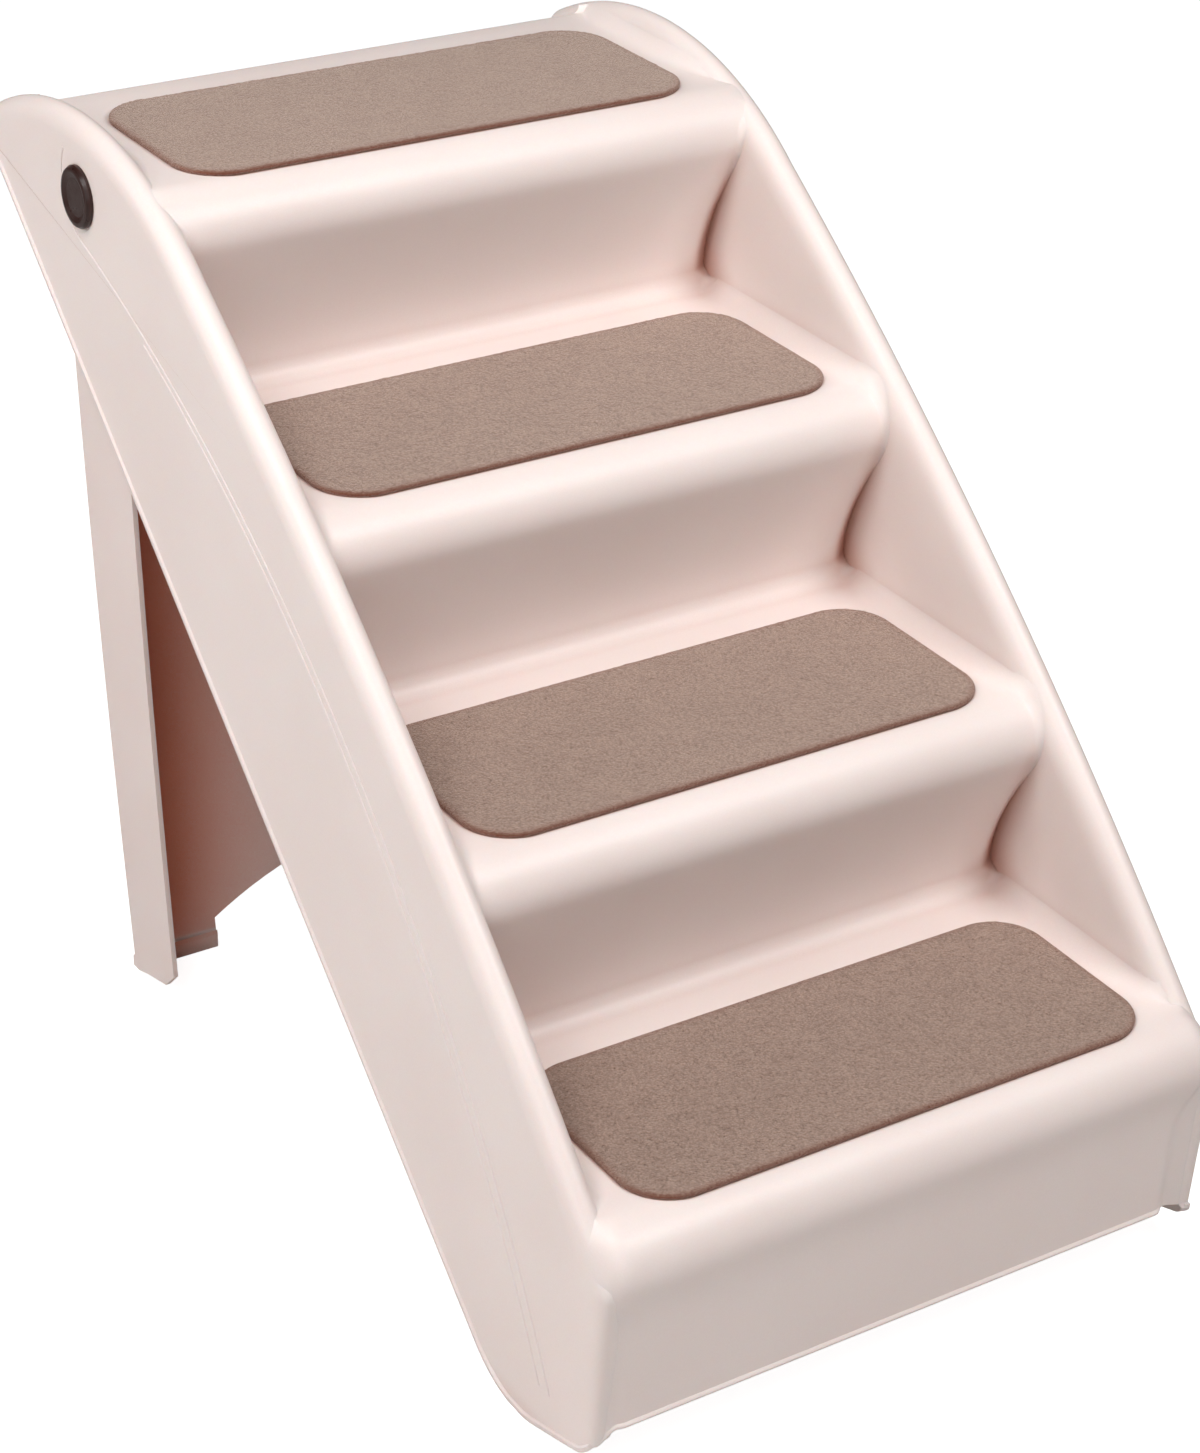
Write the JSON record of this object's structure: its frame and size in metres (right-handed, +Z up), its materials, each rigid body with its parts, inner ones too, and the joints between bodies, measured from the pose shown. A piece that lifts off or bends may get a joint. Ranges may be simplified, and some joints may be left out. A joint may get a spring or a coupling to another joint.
{
  "type": "pet stairs",
  "caption": "Folding pet stairs: a moulded plastic stair shell between solid side rails, with carpeted treads and a hinged support leg that folds up into the hollow back.",
  "frame": {"origin": "on the floor, at the middle of the width and of the depth", "axes": "+Z up, +Y from the lowest step towards the top step and the rear, +X to the right of someone who climbs the stairs"},
  "size_m": [0.398, 0.68, 0.538],
  "materials": {
    "shell_plastic": "satin moulded plastic, pale blush pink",
    "leg_plastic": "satin moulded plastic, pale blush pink",
    "pad_carpet": "short taupe carpet",
    "pin_plastic": "dark brown moulded plastic"
  },
  "bodies": {
    "stairs": {"stair_shell": "shell_plastic", "tread_pad_1": "pad_carpet", "tread_pad_2": "pad_carpet", "tread_pad_3": "pad_carpet", "tread_pad_4": "pad_carpet", "hinge_pin_left": "pin_plastic", "hinge_pin_right": "pin_plastic", "pin_retainer_left": "pin_plastic", "pin_retainer_right": "pin_plastic"},
    "leg": {"support_leg": "leg_plastic"}
  },
  "joints": [
    {"name": "leg_fold", "type": "hinge", "parent": "stairs", "child": "leg", "pos_m": [0, 0.2116, 0.4967], "axis": [-1, 0, 0], "range_deg": [0, 42]}
  ]
}
